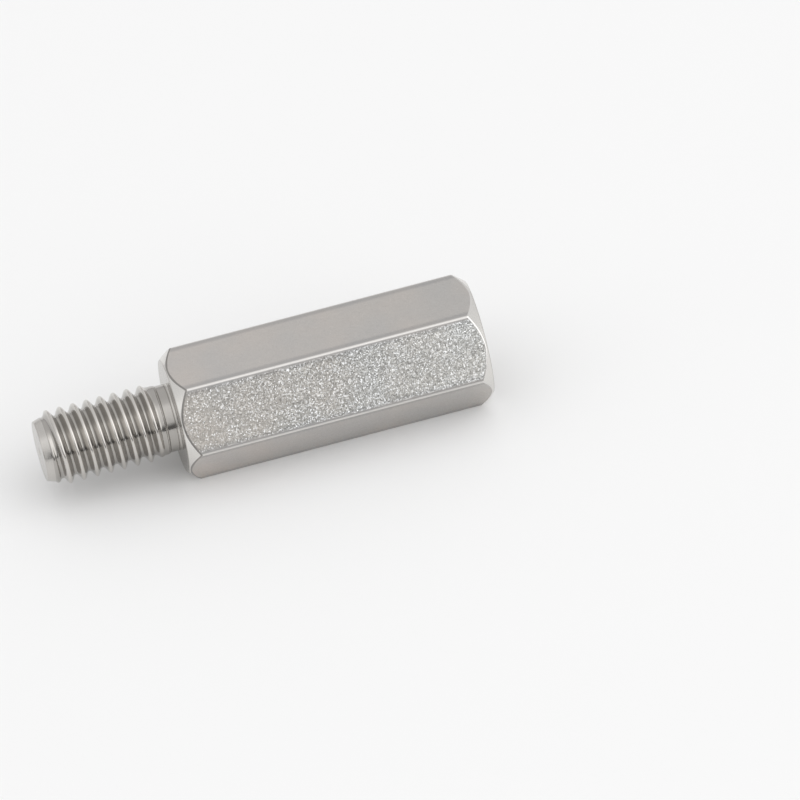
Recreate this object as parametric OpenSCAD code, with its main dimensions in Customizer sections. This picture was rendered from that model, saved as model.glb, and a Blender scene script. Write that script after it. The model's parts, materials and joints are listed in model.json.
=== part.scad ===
// Hex standoff: a length of hex bar with a threaded stud turned on one end and a tapped hole
// in the other, all one piece of metal. Lengths are in millimetres.
// The part lies on one of its flats, as it comes to rest. Its axis runs along X with the stud
// towards -X, and the origin is on the resting surface under the middle of the whole length.

/* [Hex body] */
// Width of the bar across two opposite flats
across_flats = 6; // [5.5:0.1:8]
// Length of the hex body, from the stud's shoulder to the open end
body_length = 16; // [14:0.5:40]
// How far the six long edges of the drawn bar are blunted, inside sharp ones
edge_blunting = 0.02; // [0.01:0.005:0.08]
// How far inside the flats each end face is turned
end_face_inset = 0.08; // [0.04:0.01:0.12]
// Angle between the turned bevels and the axis
bevel_angle = 40; // [30:1:60]

/* [Thread] */
// Nominal diameter of both threads
thread_d = 4; // [3:0.1:4.5]
// Distance from one turn of the thread to the next
thread_pitch = 0.7; // [0.5:0.05:0.8]
// How far the stud's thread is made under the nominal diameter
stud_allowance = 0.1; // [0.02:0.01:0.2]

/* [Stud] */
// Length of the stud, from the shoulder to the tip
stud_length = 7; // [5:0.5:14]
// Length of the plain neck between the shoulder and the thread
neck_length = 0.8; // [0.5:0.05:1.5]
// How far outside the thread's crest the neck's fillet ends and the flat of the shoulder starts
seat_gap = 0.02; // [0.01:0.01:0.2]
// Length over which the last turn of the thread fades into the neck
thread_fade = 0.35; // [0.2:0.05:0.6]
// Length of the tapered lead at the tip
lead_length = 0.75; // [0.4:0.05:1.2]
// Width of the lathe's centre mark in the tip
dimple_d = 0.5; // [0.3:0.05:0.8]
// Angle across the cone of the centre mark
dimple_angle = 120; // [90:1:140]

/* [Tapped hole] */
// Depth of the full thread, from the open end
thread_depth = 9; // [5:0.5:9.5]
// Length of plain drilled hole past the thread
drill_runout = 2; // [1:0.1:2]
// Angle across the drill's point
point_angle = 118; // [90:1:140]
// Angle across the countersink
csk_angle = 100; // [82:1:120]
// Width of the flat ring between the countersink and the bevel
land_width = 0.2; // [0.1:0.05:0.25]

/* [Hidden] */

// Worked-out sizes are held to a whole micron, so that faces meant to meet do meet
function whole_micron(size) = round(size * 1000) / 1000;

// Bar: the turn from a corner to the middle of a flat, and the radius to a sharp and a blunt corner
half_flat = 180 / 6;
corner_r = across_flats / 2 / cos(half_flat);
bar_r = whole_micron(corner_r - edge_blunting);

// Turned ends
end_face_r = across_flats / 2 - end_face_inset;
bevel_length = (bar_r - end_face_r) / tan(bevel_angle);

// How far a metric thread's pitch line and root lie under its crest, as shares of the pitch
pitch_line_share = 0.32476;
root_share = 0.61343;

// Stud: it is turned to the pitch line before its thread is rolled, which leaves the neck that size
stud_r = (thread_d - stud_allowance) / 2;
neck_r = whole_micron(stud_r - pitch_line_share * thread_pitch);
neck_fillet = stud_r + seat_gap - neck_r;
tip_r = whole_micron(stud_r - root_share * thread_pitch);
dimple_depth = dimple_d / 2 / tan(dimple_angle / 2);

// Hole: the tapping drill is one pitch smaller than the nominal diameter
bore_r = (thread_d - thread_pitch) / 2;
csk_r = end_face_r - land_width;
csk_depth = (csk_r - bore_r) / tan(csk_angle / 2);
drill_depth = thread_depth + drill_runout;
point_depth = bore_r / tan(point_angle / 2);

// The stud and the body together set where the shoulder falls
shoulder_x = (stud_length - body_length) / 2;

// The stud's core runs this far into the body, so that the two fuse, and each cut starts this
// far outside the face that it opens
overlap = 0.5;
$fn = 96;

// Round envelope that blunts the long edges and, with its coned ends, bevels the corners
module turned_envelope() {
    rotate_extrude()
        polygon([
            [0, 0],
            [end_face_r, 0],
            [bar_r, bevel_length],
            [bar_r, body_length - bevel_length],
            [end_face_r, body_length],
            [0, body_length]
        ]);
}

// Hex bar, turned so that a flat faces down once it lies along X
module hex_body() {
    intersection() {
        rotate(half_flat) cylinder(h = body_length, r = corner_r, $fn = 6);
        turned_envelope();
    }
}

// Disc under the shoulder whose rim is hollowed to a concave ring round the neck
module neck_blend() {
    rotate_extrude()
        difference() {
            translate([0, -neck_fillet])
                square([neck_r + neck_fillet, neck_fillet + overlap]);
            translate([neck_r + neck_fillet, -neck_fillet]) circle(r = neck_fillet);
        }
}

// Stud hanging under the shoulder: lead, threaded length at its crest size, fade and neck
module stud() {
    fade_end = -neck_length;
    thread_end = fade_end - thread_fade;
    lead_end = -stud_length + lead_length;
    difference() {
        union() {
            translate([0, 0, -stud_length]) cylinder(h = lead_length, r1 = tip_r, r2 = stud_r);
            translate([0, 0, lead_end]) cylinder(h = thread_end - lead_end, r = stud_r);
            translate([0, 0, thread_end]) cylinder(h = thread_fade, r1 = stud_r, r2 = neck_r);
            translate([0, 0, fade_end]) cylinder(h = neck_length + overlap, r = neck_r);
            neck_blend();
        }
        translate([0, 0, -stud_length]) centre_mark();
    }
}

// Cone that opens through the face at its foot, and keeps its angle outside it
module centre_mark() {
    slope = tan(dimple_angle / 2);
    translate([0, 0, -overlap])
        cylinder(h = dimple_depth + overlap, r1 = (dimple_depth + overlap) * slope, r2 = 0);
}

// Drill point, tapping drill and countersink, cut down from the open end
module tapped_hole() {
    drill_end = body_length - drill_depth;
    translate([0, 0, drill_end - point_depth]) cylinder(h = point_depth, r1 = 0, r2 = bore_r);
    translate([0, 0, drill_end]) cylinder(h = drill_depth + overlap, r = bore_r);
    translate([0, 0, body_length - csk_depth])
        cylinder(
            h = csk_depth + overlap,
            r1 = bore_r,
            r2 = bore_r + (csk_depth + overlap) * tan(csk_angle / 2)
        );
}

module standoff() {
    color([0.72, 0.71, 0.69])
        translate([shoulder_x, 0, across_flats / 2]) rotate([0, 90, 0])
            difference() {
                union() {
                    hex_body();
                    stud();
                }
                tapped_hole();
            }
}

standoff();
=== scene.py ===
import json
from math import atan, ceil, cos, floor, pi, radians, sin, tan

import bmesh
import bpy
import numpy as np
from mathutils import Matrix, Vector


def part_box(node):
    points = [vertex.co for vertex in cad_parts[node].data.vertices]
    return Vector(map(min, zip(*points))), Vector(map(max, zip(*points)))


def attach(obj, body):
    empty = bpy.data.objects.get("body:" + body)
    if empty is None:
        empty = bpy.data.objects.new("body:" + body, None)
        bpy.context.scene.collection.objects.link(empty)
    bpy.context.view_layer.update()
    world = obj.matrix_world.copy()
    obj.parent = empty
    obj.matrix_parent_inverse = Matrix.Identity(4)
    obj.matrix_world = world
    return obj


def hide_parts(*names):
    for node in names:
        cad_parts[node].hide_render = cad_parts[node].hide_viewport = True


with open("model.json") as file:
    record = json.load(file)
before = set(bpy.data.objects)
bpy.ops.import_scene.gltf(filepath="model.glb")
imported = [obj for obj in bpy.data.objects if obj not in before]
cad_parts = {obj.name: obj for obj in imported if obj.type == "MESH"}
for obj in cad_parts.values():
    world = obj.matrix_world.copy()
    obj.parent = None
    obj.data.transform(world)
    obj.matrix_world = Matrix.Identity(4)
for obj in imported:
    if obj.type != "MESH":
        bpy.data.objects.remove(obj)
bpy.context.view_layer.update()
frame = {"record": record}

# ---- Hexagon bar ----
# The body is a length of cold-drawn hexagon bar in bare stainless steel. The die leaves its flats frosted
# and faintly rolled off towards the six long edges, which it rounds over. The long edges are painted
# bright as a highlight.

lowest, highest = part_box("standoff")
axis_z = (lowest.z + highest.z) / 2
flat_reach = highest.z - axis_z
edge_reach = highest.y
tip_x = lowest.x
open_x = highest.x
mounts = {mount["name"]: mount for mount in frame["record"]["mounts"]}
shoulder_x = mounts["shoulder_face"]["pos_m"][0]
half_side = radians(30)
half_flat = flat_reach * tan(half_side)
rolled_from = 0.0013
roll_r = 0.03
roll_rings = 3
last_roll_ring = 0.9
edge_rings = np.array([0, 0.33, 0.67, 1, 2])
middle_rings = 7


def roll_off(across):
    """How far the flat has dropped at a distance across it from its middle: it is flat up to rolled_from,
    and then follows a large circle of roll_r."""
    return np.maximum(across - rolled_from, 0) ** 2 / (2 * roll_r)


# The long edge is a small circle that meets both flats and is as far out as the CAD part's edge
edge_slope = half_side - (half_flat - rolled_from) / roll_r
flats_meet = (flat_reach - roll_off(half_flat)) / cos(half_side)
edge_r = (flats_meet - edge_reach) / (1 / cos(edge_slope) - 1)
edge_centre = edge_reach - edge_r
edge_turn = atan(edge_r * sin(edge_slope) / (edge_centre + edge_r * cos(edge_slope)))


def turns_round_the_bar():
    """Turns about the axis, from the long edge at +Y right round to it again. They are close together
    over each rounded edge and the rolled-off part of the flat, and evenly spread over the middle."""
    rolled_across = np.linspace(last_roll_ring * half_flat, rolled_from, roll_rings)
    rolled = half_side - np.arctan(rolled_across / flat_reach)
    half = np.concatenate([
        edge_turn * edge_rings,
        rolled,
        np.linspace(rolled[-1], half_side, middle_rings)[1:],
    ])
    side = np.concatenate([half, 2 * half_side - half[-2:0:-1]])
    sides = 2 * half_side * np.arange(6)
    return np.append((sides[:, None] + side).ravel(), 2 * pi)


def bar_radius(turn):
    """Radius of the bar at a turn about the axis. Over a flat it is the rolled-off flat's distance over the
    cosine of the turn from its middle. Over a long edge it reaches to the edge's circle."""
    off_edge = np.abs((turn + half_side) % (2 * half_side) - half_side)
    off_middle = half_side - off_edge
    over_flat = (flat_reach - roll_off(flat_reach * np.tan(off_middle))) / np.cos(off_middle)
    beside = np.minimum(edge_centre * np.sin(off_edge), edge_r)
    over_edge = edge_centre * np.cos(off_edge) + np.sqrt(edge_r**2 - beside**2)
    return np.where(off_edge < edge_turn, over_edge, over_flat)


around = turns_round_the_bar()
bar = bar_radius(around)


def bare_steel(name, colour, roughness):
    """A metal of that colour and roughness. Returns the material, its nodes, links and shader."""
    material = bpy.data.materials.new(name)
    material.use_nodes = True
    nodes = material.node_tree.nodes
    shader = nodes["Principled BSDF"]
    shader.inputs["Base Color"].default_value = (*colour, 1)
    shader.inputs["Metallic"].default_value = 1
    shader.inputs["Roughness"].default_value = roughness
    return material, nodes, material.node_tree.links, shader


def wired(nodes, links, kind, *inputs, output=0, **settings):
    """One output of a new node of a kind. Its inputs are linked or set in order, and None leaves one
    alone."""
    node = nodes.new(kind)
    for name, value in settings.items():
        setattr(node, name, value)
    for socket, value in zip(node.inputs, inputs):
        if isinstance(value, bpy.types.NodeSocket):
            links.new(value, socket)
        elif value is not None:
            socket.default_value = value
    return node.outputs[output]


def ramp(nodes, links, value, start, end, at_start=0.0, at_end=1.0):
    """A number that goes from at_start to at_end as the value goes from start to end, and then stays."""
    return wired(nodes, links, "ShaderNodeMapRange", value, start, end, at_start, at_end)


def product(nodes, links, first, *others):
    """Several shares multiplied together."""
    for other in others:
        first = wired(nodes, links, "ShaderNodeMath", first, other, operation="MULTIPLY")
    return first


def blended(nodes, links, share, one, other, **settings):
    """Colour that goes from one to the other as the share goes from 0 to 1."""
    mix = nodes.new("ShaderNodeMix")
    mix.data_type = "RGBA"
    for name, value in settings.items():
        setattr(mix, name, value)
    for name, value in (("Factor", share), ("A", one), ("B", other)):
        if isinstance(value, bpy.types.NodeSocket):
            links.new(value, mix.inputs[name])
        else:
            mix.inputs[name].default_value = (*value, 1)
    return mix.outputs["Result"]


def off_the_axis(nodes, links):
    """A point's place, its place from the axis with no x, and its distance from the axis."""
    place = nodes.new("ShaderNodeTexCoord").outputs["Object"]
    from_axis = wired(nodes, links, "ShaderNodeVectorMath", place, (0, 0, axis_z), operation="SUBTRACT")
    radial = wired(nodes, links, "ShaderNodeVectorMath", from_axis, (0, 1, 1), operation="MULTIPLY")
    radius = wired(nodes, links, "ShaderNodeVectorMath", radial, output=1, operation="LENGTH")
    return place, radial, radius


frosted_colour = (0.586, 0.553, 0.523)
# A darker colour towards each long edge
darker_edge_colour = (0.475, 0.453, 0.437)
# Painted highlight along the rounded long edges
edge_highlight_colour = (0.72, 0.7, 0.678)
# Painted glint: the bright colour of grains that stand in for the light they catch
painted_glint_colour = (0.9, 0.91, 0.92)
cool_tint = (0.935, 0.965, 0.99)

# Painted light and shade along the flats from the shoulder to the open end: the satin ones grow a little
# darker, and the one that sparkles lighter and cooler
satin_light_and_shade = (1.03, 1.02, 1.02), (0.95, 0.955, 0.96)
sparkling_light_and_shade = (0.855, 0.848, 0.83), (1.065, 1.11, 1.12)

# Radii towards a long edge between which the flat turns darker, turns smooth, and is painted bright as a
# highlight at the edge itself
darker_edge_from, darker_edge_at = 0.003275, 0.00335
frosted_to, smooth_at = 0.00335, 0.0034
# Radii over which the long edges are painted bright as a highlight
edge_highlight_from, edge_highlight_at = 0.003415, 0.00343

grain_size = 0.000055

# A grain's lot is three chance numbers from 0 to 1, and a grain with the middle one isn't tipped
middle_lot = (0.5, 0.5, 0.5)
smooth_roughness, grain_roughness = 0.34, 0.58
satin_tilt, sparkling_tilt = radians(14), radians(100)
sparkling_flat = (0, -cos(half_side), sin(half_side))
sparkling_from, sparkling_at = 0.955 * flat_reach, 0.985 * flat_reach

# The sparkle grows from the shoulder as far as even_x. Grains below these shares of them all get no
# painted glint
even_x = 0.0035
first_sparkle = 0.45
glintless_at_shoulder, glintless = 0.88, 0.64
patch_size = 0.003
patch_low, patch_high = 0.35, 0.65
fewer_glints, more_glints = 0.75, 1.1


def drawn_steel():
    """Bar as drawn. Over the middle of a flat, fine grains each tip the surface their own way and are more
    or less rough: much on the flat that faces -Y and +Z, where some of them carry a painted glint, a bright
    colour standing in for the light they catch, and little elsewhere. Towards the long edges, where the
    radius grows, the die has pressed it smooth, the colour turns darker, and the edges themselves are
    painted bright as a highlight. Patches differ a little in tint, and painted light and shade changes
    the tone slightly along the bar."""
    material, nodes, links, shader = bare_steel("drawn_steel", frosted_colour, smooth_roughness)
    place, radial, radius = off_the_axis(nodes, links)
    along = wired(nodes, links, "ShaderNodeSeparateXYZ", place)
    frosted = ramp(nodes, links, radius, frosted_to, smooth_at, 1.0, 0.0)
    facing = wired(nodes, links, "ShaderNodeVectorMath", radial, sparkling_flat,
                   output=1, operation="DOT_PRODUCT")
    on_sparkling_flat = ramp(nodes, links, facing, sparkling_from, sparkling_at)
    grains = wired(nodes, links, "ShaderNodeTexVoronoi", place, None, 1 / grain_size, output=1)
    lot = nodes.new("ShaderNodeSeparateColor")
    links.new(grains, lot.inputs["Color"])

    roughest = ramp(nodes, links, frosted, 0.0, 1.0, smooth_roughness, grain_roughness)
    roughness = ramp(nodes, links, lot.outputs["Red"], 0.0, 1.0, smooth_roughness, roughest)
    links.new(roughness, shader.inputs["Roughness"])

    strength = ramp(nodes, links, along, shoulder_x, even_x, first_sparkle, 1.0)
    sparkling = product(nodes, links, on_sparkling_flat, strength)
    tilt = ramp(nodes, links, sparkling, 0.0, 1.0, satin_tilt, sparkling_tilt)
    tilt = product(nodes, links, tilt, frosted)
    lean = wired(nodes, links, "ShaderNodeVectorMath", grains, middle_lot, operation="SUBTRACT")
    lean = wired(nodes, links, "ShaderNodeVectorMath", lean, None, None, tilt, operation="SCALE")
    surface = nodes.new("ShaderNodeNewGeometry").outputs["Normal"]
    tipped = wired(nodes, links, "ShaderNodeVectorMath", surface, lean, operation="ADD")
    tipped = wired(nodes, links, "ShaderNodeVectorMath", tipped, operation="NORMALIZE")
    links.new(tipped, shader.inputs["Normal"])

    darker_edge = ramp(nodes, links, radius, darker_edge_from, darker_edge_at)
    # Painted highlight on the long edges
    edge_highlight = ramp(nodes, links, radius, edge_highlight_from, edge_highlight_at)
    cloud = wired(nodes, links, "ShaderNodeTexNoise", place, None, 1 / patch_size)
    patch = ramp(nodes, links, cloud, patch_low, patch_high)
    patchy = ramp(nodes, links, patch, 0.0, 1.0, fewer_glints, more_glints)
    # Painted glint: some grains of the sparkling flat are coloured bright, as if they caught the light
    no_glint_below = ramp(nodes, links, along, shoulder_x, even_x, glintless_at_shoulder, glintless)
    painted_glint = ramp(nodes, links, lot.outputs["Blue"], no_glint_below, 1.0)
    painted_glint = product(nodes, links, painted_glint, on_sparkling_flat, frosted, patchy)
    # The colour turns darker towards each long edge
    colour = blended(nodes, links, darker_edge, frosted_colour, darker_edge_colour)
    colour = blended(nodes, links, patch, colour, cool_tint, blend_type="MULTIPLY")
    # Painted light and shade: each flat's tone changes along the bar with how the light falls on it
    to_open_end = ramp(nodes, links, along, shoulder_x, open_x)
    painted_light_and_shade = blended(nodes, links, on_sparkling_flat, blended(nodes, links, to_open_end, *satin_light_and_shade),
                   blended(nodes, links, to_open_end, *sparkling_light_and_shade))
    colour = blended(nodes, links, frosted, colour, painted_light_and_shade, blend_type="MULTIPLY")
    colour = blended(nodes, links, edge_highlight, colour, edge_highlight_colour)
    colour = blended(nodes, links, painted_glint, colour, painted_glint_colour)
    links.new(colour, shader.inputs["Base Color"])
    return material


drawn = drawn_steel()

# ---- Turned ends ----
# Both ends of the bar are faced in a lathe, and its six corners are bevelled there by a cone, which leaves
# curved arcs on the flats. The cutter leaves fine rings about the axis.

end_face_inset = 0.00008
end_face_r = flat_reach - end_face_inset
bevel_angle = radians(40)
bevel_length = (bar - end_face_r) / tan(bevel_angle)
broken_edge = 0.00003
widest_arc_edge = 0.00006
arc_edge_share = 0.45
arc_edge = np.clip(arc_edge_share * bevel_length, broken_edge, widest_arc_edge)
past_bevel = 0.0002
round_rings = 6
corner_rings = round_rings + 2
beyond_round = 1.6


def turned(*corners):
    """Grid of x and radius for a turned surface. Its profile runs straight from corner to corner and rounds
    each corner off by the parabola that meets both lines at a reach from it, with one more ring beyond
    either end of the round. A corner is its x, its radius and that reach, and may differ with the turn."""
    x, r, reach = (np.stack([np.broadcast_to(value, around.shape) for value in values])
                   for values in zip(*corners))
    run, rise = np.diff(x, axis=0), np.diff(r, axis=0)
    length = np.hypot(run, rise)
    run, rise = run / length, rise / length
    share = np.linspace(0, 1, round_rings)
    before = np.concatenate([[beyond_round], (1 - share) ** 2, [0]])[:, None]
    after = np.concatenate([[0], share**2, [beyond_round]])[:, None]
    grid_x, grid_r = [x[:1]], [r[:1]]
    for i in range(1, len(corners) - 1):
        grid_x.append(x[i] + reach[i] * (after * run[i] - before * run[i - 1]))
        grid_r.append(r[i] + reach[i] * (after * rise[i] - before * rise[i - 1]))
    return np.stack([np.concatenate([*grid_x, x[-1:]]), np.concatenate([*grid_r, r[-1:]])])


turned_colour = (0.56, 0.541, 0.516)
# The bevels are painted lighter than the faced steel, as light
lit_bevel_colour = (0.74, 0.724, 0.698)
# Painted shade on the arc edges at the shoulder
shaded_arc_colour = (0.3, 0.288, 0.275)
# Painted highlight on the arc edges at the open end
highlit_arc_colour = (0.72, 0.705, 0.685)
rings_per_metre = 3000
ring_height = 0.0000012
ring_wander = 3.0
wander_detail, wander_scale = 3.0, 0.3
dent_detail = 3.0


def uneven(nodes, links, place, dent_size, dent_height, under=None):
    """Normal of a surface with soft shallow dents, over another normal if there is one."""
    dents = wired(nodes, links, "ShaderNodeTexNoise", place, None, 1 / dent_size, dent_detail)
    bump = nodes.new("ShaderNodeBump")
    bump.inputs["Distance"].default_value = dent_height
    links.new(dents, bump.inputs["Height"])
    if under:
        links.new(under, bump.inputs["Normal"])
    return bump.outputs["Normal"]


def turned_steel(name, colour):
    """Steel cut in a lathe: smooth, with fine rings about the axis, and not quite even."""
    material, nodes, links, shader = bare_steel(name, colour, roughness=0.24)
    place = nodes.new("ShaderNodeTexCoord").outputs["Object"]
    centred = nodes.new("ShaderNodeMapping")
    centred.inputs["Location"].default_value = (0, 0, -axis_z)
    links.new(place, centred.inputs["Vector"])
    rings = nodes.new("ShaderNodeTexWave")
    rings.wave_type = "RINGS"
    rings.rings_direction = "X"
    rings.inputs["Scale"].default_value = rings_per_metre
    rings.inputs["Distortion"].default_value = ring_wander
    rings.inputs["Detail"].default_value = wander_detail
    rings.inputs["Detail Scale"].default_value = wander_scale
    links.new(centred.outputs["Vector"], rings.inputs["Vector"])
    bump = nodes.new("ShaderNodeBump")
    bump.inputs["Distance"].default_value = ring_height
    links.new(rings.outputs["Fac"], bump.inputs["Height"])
    ringed = bump.outputs["Normal"]
    dented = uneven(nodes, links, place, dent_size=0.00025, dent_height=0.000004, under=ringed)
    links.new(dented, shader.inputs["Normal"])
    return material


def highlit_arc_steel():
    """Arc edges at the open end, smooth and a little uneven, and painted bright as a highlight."""
    material, nodes, links, shader = bare_steel("highlit_arc_steel", highlit_arc_colour, roughness=0.12)
    place = nodes.new("ShaderNodeTexCoord").outputs["Object"]
    dented = uneven(nodes, links, place, dent_size=0.0002, dent_height=0.000003)
    links.new(dented, shader.inputs["Normal"])
    return material


# The arc edges at the shoulder are painted dark, as shade
faced = turned_steel("faced_steel", turned_colour)
# Turned steel painted lighter on the bevels, as light
lit_bevel = turned_steel("lit_bevel_steel", lit_bevel_colour)
shaded_arc, *_ = bare_steel("shaded_arc_steel", shaded_arc_colour, roughness=0.3)
# Steel painted bright on the arc edges at the open end, as a highlight
highlit_arc = highlit_arc_steel()

# ---- Stud ----
# The stud is turned down from the bar to the thread's pitch line, and its thread is then rolled, which
# presses the grooves in and raises crests between them. The grooves are painted darker as shade, and
# the crests painted lighter. A neck and a fillet join it to the bar.

thread_pitch = 0.0007
thread_height = 0.00037
root_round = 0.000125
crest_round = 0.000035
stud_r = mounts["stud"]["dims"]["r_mm"] / 1000
stud_root_r = stud_r - thread_height
tip_r = 0.00154
tip_edge = 0.00005
lead_x = tip_x + 0.0004
lead_r = 0.00166
first_crest_x = tip_x + 0.00001
crest_rise, root_fall = 0.00033, 0.0005
dimple_r = 0.00025
dimple_half_angle = radians(60)
dimple_depth = dimple_r / tan(dimple_half_angle)

# The last crest sinks to the low collar that ends the thread, and the last root rises to meet it. Each
# place is a distance from the collar's end
collar_r = 0.00178
collar_length = 0.00018
last_crest_r, last_crest_at, crest_sinks_from = 0.0019, 0.00046, 0.00058
last_root_r, last_root_at = 0.00179, 0.00034
rising_root_r, rising_root_at, root_rises_from = 0.00172, 0.0005, 0.00076
neck_x = shoulder_x - 0.0007
neck_r = 0.001723
neck_fillet = 0.00007
relief_depth = 0.00001
relief_width, relief_step = 0.00012, 0.00003
relief_r = neck_r - relief_depth
relief_x = shoulder_x - relief_width
line_width, line_depth, past_line_depth = 0.00003, 0.00003, 0.00001
step_width, fine_edge, step_edge = 0.00012, 0.00001, 0.00002


def helix(phases, first_crest, start, end):
    """Grid of x and phase that follows a right-hand thread: x grows by one pitch for each turn, and the
    phase, in pitches from the nearest crest, stays the same along a row. Rows that would run past the
    start or the end of the thread lie on the ring there."""
    first = floor((start - first_crest) / thread_pitch) - 2
    last = ceil((end - first_crest) / thread_pitch) + 1
    pitches = (np.arange(first, last)[:, None] + phases).ravel()
    x = first_crest + thread_pitch * (pitches[:, None] + around / (2 * pi))
    off_crest = np.abs((pitches + 0.5) % 1 - 0.5)[:, None]
    return np.clip(x, start, end), off_crest


def rolled_groove(off_crest):
    """Depth of a rolled thread's groove as a share of its full depth. The crest is a hyperbola, which the
    metal didn't quite fill, then comes a straight flank at 30 degrees to the radius, then a round root."""
    full, root, soft = (size / thread_pitch for size in (thread_height, root_round, crest_round))
    sharp = 0.5 - root * cos(half_side) - (full - root / 2) * tan(half_side)
    crest = sharp - soft**2 / (4 * sharp)
    top = (np.hypot(crest, soft) - crest) / 2 / tan(half_side)
    past_crest = off_crest - crest
    flank = (past_crest + np.hypot(past_crest, soft)) / 2 / tan(half_side) - top
    off_root = np.minimum(0.5 - off_crest, root)
    floor_of_root = full - root + np.sqrt(root**2 - off_root**2)
    return np.where(off_root > root * cos(half_side), flank, floor_of_root) / full


def mirrored(half):
    """Phases over one pitch from those between a crest and the root beside it."""
    return np.concatenate([half, 1 - np.array(half)[-2:0:-1]])


# Rows of the rolled thread from a crest to the root beside it, in pitches
crest_to_root = [0, 0.03, 0.06, 0.09, 0.12, 0.155, 0.2, 0.27, 0.34, 0.365, 0.39, 0.42, 0.45, 0.475, 0.5]


def stud_thread():
    """Grid of the rolled thread, from the end of the plain lead to the collar. Its crests rise out of the
    lead and sink to the collar, and its roots deepen and end there."""
    x, off_crest = helix(mirrored(crest_to_root), first_crest_x, lead_x, neck_x)
    crest = np.interp(x - lead_x, [0, crest_rise], [lead_r, stud_r])
    root = np.interp(x - lead_x, [0, root_fall], [lead_r, stud_root_r])
    to_go = neck_x - x
    last_crest = np.interp(to_go, [collar_length, last_crest_at, crest_sinks_from],
                           [collar_r, last_crest_r, stud_r])
    last_root = np.interp(to_go, [collar_length, last_root_at, rising_root_at, root_rises_from],
                          [collar_r, last_root_r, rising_root_r, stud_root_r])
    crest = np.minimum(crest, last_crest)
    root = np.maximum(root, last_root)
    return x, crest - (crest - root) * rolled_groove(off_crest)


# Painted shade in the thread's grooves, and a lighter colour painted on its crests, between these radii
groove_shade_colour = (0.42, 0.404, 0.382)
crest_colour = (0.62, 0.597, 0.567)
groove_shade_to, unshaded_at = 0.00178, 0.00192


def rolled_steel():
    """Steel burnished by the rolling dies, and not quite even. Its grooves are painted darker than its
    crests, as shade, and its crests a little lighter, so its colour goes with the distance from the axis."""
    material, nodes, links, shader = bare_steel("rolled_steel", crest_colour, roughness=0.14)
    place, _, radius = off_the_axis(nodes, links)
    # Painted shade: darker towards the grooves, lighter on the crests
    unshaded = ramp(nodes, links, radius, groove_shade_to, unshaded_at)
    links.new(blended(nodes, links, unshaded, groove_shade_colour, crest_colour), shader.inputs["Base Color"])
    dented = uneven(nodes, links, place, dent_size=0.00022, dent_height=0.000004)
    links.new(dented, shader.inputs["Normal"])
    return material


rolled = rolled_steel()
lead = turned((tip_x + dimple_depth, 0, 0), (tip_x, dimple_r, broken_edge), (tip_x, tip_r, tip_edge),
              (lead_x, lead_r, 0))

# A fine line is cut round the end of the collar, then a step drops to the neck
neck = turned((neck_x, collar_r, 0),
              (neck_x + line_width, collar_r - line_depth, fine_edge),
              (neck_x + 2 * line_width, collar_r - past_line_depth, fine_edge),
              (neck_x + step_width, neck_r, step_edge),
              (relief_x - relief_step, neck_r, fine_edge),
              (relief_x, relief_r, 0))
shoulder = turned((relief_x, relief_r, 0),
                  (shoulder_x, relief_r, neck_fillet),
                  (shoulder_x, end_face_r, broken_edge),
                  (shoulder_x + bevel_length, bar, arc_edge),
                  (shoulder_x + bevel_length + past_bevel, bar, 0))

# ---- Tapped hole ----
# The open end is drilled, countersunk and tapped. The tap's thread stops short of the drilled hole's end.

bore_r = mounts["tapped_hole"]["dims"]["r_mm"] / 1000
tapped_root_r = 0.00202
flat_ring_width = 0.0002
csk_r = end_face_r - flat_ring_width
csk_half_angle, drill_half_angle = radians(50), radians(59)
csk_slope = tan(csk_half_angle)
mouth_x = open_x - (csk_r - tapped_root_r) / csk_slope
clear_of_thread = 0.00001
thread_depth, tap_lead, drill_depth = 0.009, 0.001, 0.011
full_thread_x = open_x - thread_depth
last_thread_x = full_thread_x - tap_lead
drill_end_x = open_x - drill_depth
drill_point = bore_r / tan(drill_half_angle)

# Rows of the tapped thread, and where its flank starts and ends, in pitches from a crest
tapped_phases = [0, 0.13, 0.165, 0.3, 0.42, 0.46, 0.5]
groove_from, groove_to = 0.149, 0.4375
tapped_colour = (0.5, 0.482, 0.458)


def tapped_thread():
    """Grid of the tapped thread, from the hole's mouth inwards: flat crests at the drill's size, straight
    flanks and narrow roots. The countersink cuts the first crests away, and the last roots fade out."""
    x, off_crest = helix(mirrored(tapped_phases), mouth_x, last_thread_x, mouth_x)
    full = (tapped_root_r - bore_r) * np.interp(x, [last_thread_x, full_thread_x], [0, 1])
    groove = np.clip((off_crest - groove_from) / (groove_to - groove_from), 0, 1)
    countersink = csk_r - csk_slope * (open_x - x)
    r = np.maximum(bore_r + full * groove, countersink)
    return x[::-1], r[::-1]


# Steel cut by the tap, duller than the outside
tapped, *_ = bare_steel("tapped_steel", tapped_colour, roughness=0.25)
mouth = turned((open_x - bevel_length - past_bevel, bar, 0),
               (open_x - bevel_length, bar, arc_edge),
               (open_x, end_face_r, broken_edge),
               (open_x, csk_r, broken_edge),
               (mouth_x + clear_of_thread, tapped_root_r + csk_slope * clear_of_thread, 0),
               (mouth_x, tapped_root_r, 0))
drill = turned((last_thread_x, bore_r, 0), (drill_end_x, bore_r, broken_edge),
               (drill_end_x - drill_point, 0, 0))
flat_rings = 9
flats = (np.linspace(shoulder[0][-1], mouth[0][0], flat_rings),
         np.broadcast_to(bar, (flat_rings, len(bar))))

# ---- The finished standoff ----
# All of it is one piece of metal, so its surfaces join into one closed skin, each with its finish. Along
# both ends, the faced part, the bevel, the arc edge and the flat follow one another ring by ring.

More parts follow.
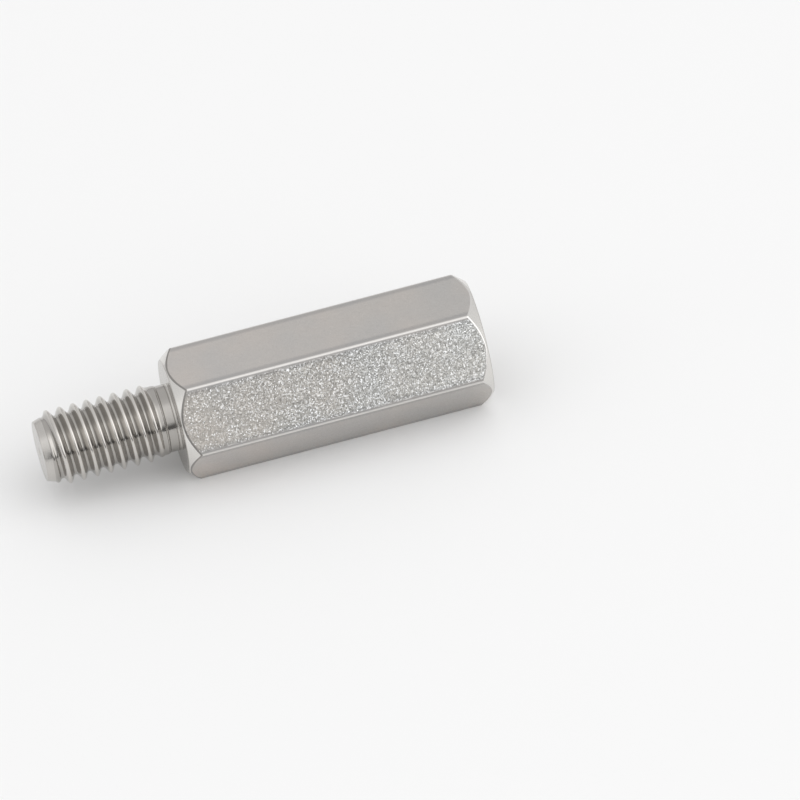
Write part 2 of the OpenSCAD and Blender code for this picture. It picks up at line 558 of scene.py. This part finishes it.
weld_distance = 0.0000002
bevel_ring = 2 * corner_rings
arc_ring = 3 * corner_rings
finishes = [drawn, faced, lit_bevel, shaded_arc, highlit_arc, rolled, tapped]
surfaces = [
    (lead, faced),
    (stud_thread(), rolled),
    (neck, rolled),
    (shoulder[:, :bevel_ring + 1], faced),
    (shoulder[:, bevel_ring:bevel_ring + 3], lit_bevel),
    (shoulder[:, bevel_ring + 2:arc_ring], shaded_arc),
    (shoulder[:, arc_ring - 1:], drawn),
    (flats, drawn),
    (mouth[:, :3], drawn),
    (mouth[:, 2:corner_rings], highlit_arc),
    (mouth[:, corner_rings - 1:corner_rings + 2], lit_bevel),
    (mouth[:, corner_rings + 1:], faced),
    (tapped_thread(), tapped),
    (drill, tapped),
]


def grid_quads(index):
    """Faces between neighbouring rows and columns of a grid of point numbers."""
    quads = np.stack([index[:-1, :-1], index[:-1, 1:], index[1:, 1:], index[1:, :-1]], axis=-1)
    return quads.reshape(-1, 4)


def skin(name):
    """One mesh of all the surfaces. A point is its x, and its radius turned about the axis. Neighbouring
    rows and turns are joined by faces, and points that meet are merged, which closes the skin."""
    points, faces, finish, count = [], [], [], 0
    for (x, r), material in surfaces:
        place = np.stack([x, r * np.cos(around), axis_z + r * np.sin(around)], axis=-1)
        points.append(place.reshape(-1, 3))
        faces.append(grid_quads(count + np.arange(x.size).reshape(x.shape)))
        finish.append(np.full(len(faces[-1]), finishes.index(material)))
        count += x.size
    mesh = bpy.data.meshes.new(name)
    mesh.from_pydata(np.concatenate(points), [], np.concatenate(faces))
    for material in finishes:
        mesh.materials.append(material)
    mesh.polygons.foreach_set("material_index", np.concatenate(finish))
    welded = bmesh.new()
    welded.from_mesh(mesh)
    bmesh.ops.remove_doubles(welded, verts=welded.verts, dist=weld_distance)
    welded.to_mesh(mesh)
    welded.free()
    mesh.shade_smooth()
    return mesh


standoff = bpy.data.objects.new("hex_standoff", skin("hex_standoff"))
bpy.context.scene.collection.objects.link(standoff)
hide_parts("standoff")
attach(standoff, "root")

# ---- Floor, light and camera ----
# The part lies on a plain pale floor under a white tent, which glows softly as it does when lamps stand
# outside it: most in front and above, and more to the right. A low slot in front of it stays dark.


def stage_sheet(name, points, quads, paint):
    """A sheet of the stage, which isn't part of the object."""
    mesh = bpy.data.meshes.new(name)
    mesh.from_pydata(points, [], quads)
    mesh.materials.append(paint)
    sheet = bpy.data.objects.new(name, mesh)
    bpy.context.scene.collection.objects.link(sheet)
    return sheet


floor_reach = 1.5
floor_colour = (0.9, 0.9, 0.9, 1)
floor_roughness = 0.9
floor_paint = bpy.data.materials.new("floor_paint")
floor_paint.use_nodes = True
floor_shader = floor_paint.node_tree.nodes["Principled BSDF"]
floor_shader.inputs["Base Color"].default_value = floor_colour
floor_shader.inputs["Roughness"].default_value = floor_roughness
floor_shader.inputs["Specular IOR Level"].default_value = 0
floor_corners = [(-floor_reach, -floor_reach, 0), (floor_reach, -floor_reach, 0),
                 (floor_reach, floor_reach, 0), (-floor_reach, floor_reach, 0)]
stage_sheet("floor", floor_corners, [(0, 1, 2, 3)], floor_paint)


tent_reach = 1.3
tent_steps = 121
lamp_glow, slot_glow = 0.86, 0.15

# How the glow goes with the turn up and the swing, both in degrees: the turns or swings, then the values
back_by_swing = [-60, -10, 6, 35, 60], [0.77, 0.81, 0.83, 0.86, 0.83]
back_by_turn = [155, 180], [1, 0.75]
front_by_turn = [30, 55, 80, 95], [0.78, 1.04, 1.14, 0.86]
front_share_by_turn = [98, 116], [1, 0]
lamp_by_swing = [0, 25, 50, 70], [0, 1, 1, 0]
lamp_by_turn = [70, 115], [1, 0]
lamp_by_height = [3, 9], [0, 1]
slot_top_by_swing = [-75, -60, -42, -30, -20, -8, 6, 22, 34], [0, 14, 16, 0, 0, 11, 13.5, 7, 0]
slot_fade_by_swing = [-42, -30, -20, 6, 30], [8, 5, 5, 12, 6]
slot_by_turn = [90, 120], [1, 0]
slot_by_swing = [-85, -60, 34, 50], [0, 1, 1, 0]


def tent_glow(up, swing, height):
    """The cloth's glow, by straight lines between the values above. It goes from a lit front to a plainer
    back, with more at the right, where a lamp stands outside, and fades into a dark slot along the foot of
    the front. The height is the angle above the floor."""
    back = np.interp(swing, *back_by_swing) * np.interp(up, *back_by_turn)
    front = np.interp(up, *front_by_turn)
    glow = back + (front - back) * np.interp(up, *front_share_by_turn)
    lamp = lamp_glow * np.interp(swing, *lamp_by_swing) * np.interp(up, *lamp_by_turn)
    glow = glow + lamp * np.interp(height, *lamp_by_height)
    past_top = (height - np.interp(swing, *slot_top_by_swing)) / np.interp(swing, *slot_fade_by_swing)
    slot = np.interp(up, *slot_by_turn) * (1 - np.clip(past_top, 0, 1))
    slot = slot * np.interp(swing, *slot_by_swing)
    return glow + (slot_glow - glow) * slot


def glowing_tent():
    """Half a ball of cloth over the part. A point is its turn up about X from the front of the floor, and
    its swing from there towards +X."""
    up = np.linspace(0, 180, tent_steps)[:, None]
    swing = np.linspace(-90, 90, tent_steps)[None, :]
    rise, side = np.radians(up), np.radians(swing)
    points = np.broadcast_arrays(np.sin(side), -np.cos(side) * np.cos(rise), np.cos(side) * np.sin(rise))
    points = tent_reach * np.stack(points, axis=-1).reshape(-1, 3)
    quads = grid_quads(np.arange(len(points)).reshape(tent_steps, tent_steps))
    height = np.degrees(np.arcsin(np.cos(side) * np.sin(rise)))
    glow = tent_glow(up, swing, height)
    cloth = bpy.data.materials.new("tent_cloth")
    cloth.use_nodes = True
    nodes, links = cloth.node_tree.nodes, cloth.node_tree.links
    nodes.remove(nodes["Principled BSDF"])
    shine = nodes.new("ShaderNodeEmission")
    level = nodes.new("ShaderNodeAttribute")
    level.attribute_name = "glow"
    links.new(level.outputs["Fac"], shine.inputs["Strength"])
    links.new(shine.outputs[0], nodes["Material Output"].inputs["Surface"])
    tent = stage_sheet("tent", points, quads, cloth)
    tent.data.attributes.new("glow", "FLOAT", "POINT").data.foreach_set("value", glow.ravel())
    tent.visible_camera = False
    cloth.cycles.emission_sampling = "NONE"


glowing_tent()

# The world lights the part at half strength, and shows plain white behind it and in its reflections
world_strength = 0.5
world = bpy.data.worlds.new("studio")
bpy.context.scene.world = world
world.use_nodes = True
world.cycles.sampling_method = "NONE"
world_nodes, world_links = world.node_tree.nodes, world.node_tree.links
background = world_nodes["Background"]
background.inputs["Color"].default_value = (1, 1, 1, 1)
path = world_nodes.new("ShaderNodeLightPath")
shown = wired(world_nodes, world_links, "ShaderNodeMath", path.outputs["Is Camera Ray"],
              path.outputs["Is Glossy Ray"], operation="MAXIMUM")
shown = wired(world_nodes, world_links, "ShaderNodeMath", shown,
              path.outputs["Is Transmission Ray"], operation="MAXIMUM")
strength = ramp(world_nodes, world_links, shown, 0.0, 1.0, world_strength, 1.0)
world_links.new(strength, background.inputs["Strength"])

# The camera looks down on the part from the front with a long lens, and is rolled a little
azimuth, elevation, roll = radians(-8.2), radians(40.9), radians(-9.3)
distance = 1.0
sensor_width = 36
view_width = 0.04033
aim_right, aim_down = 0.00709, 0.0003
back = Vector((sin(azimuth) * cos(elevation), -cos(azimuth) * cos(elevation), sin(elevation)))
level = Vector((cos(azimuth), sin(azimuth), 0))
upright = back.cross(level)
right = level * cos(roll) + upright * sin(roll)
up = back.cross(right)
centre = Vector(((tip_x + open_x) / 2, 0, axis_z))
camera_data = bpy.data.cameras.new("camera")
camera_data.sensor_width = sensor_width
camera_data.lens = sensor_width * distance / view_width
camera = bpy.data.objects.new("camera", camera_data)
place = centre + right * aim_right - up * aim_down + back * distance
camera.matrix_world = Matrix.Translation(place) @ Matrix((right, up, back)).transposed().to_4x4()
bpy.context.scene.collection.objects.link(camera)
bpy.context.scene.camera = camera
bpy.context.scene.view_settings.view_transform = "Standard"
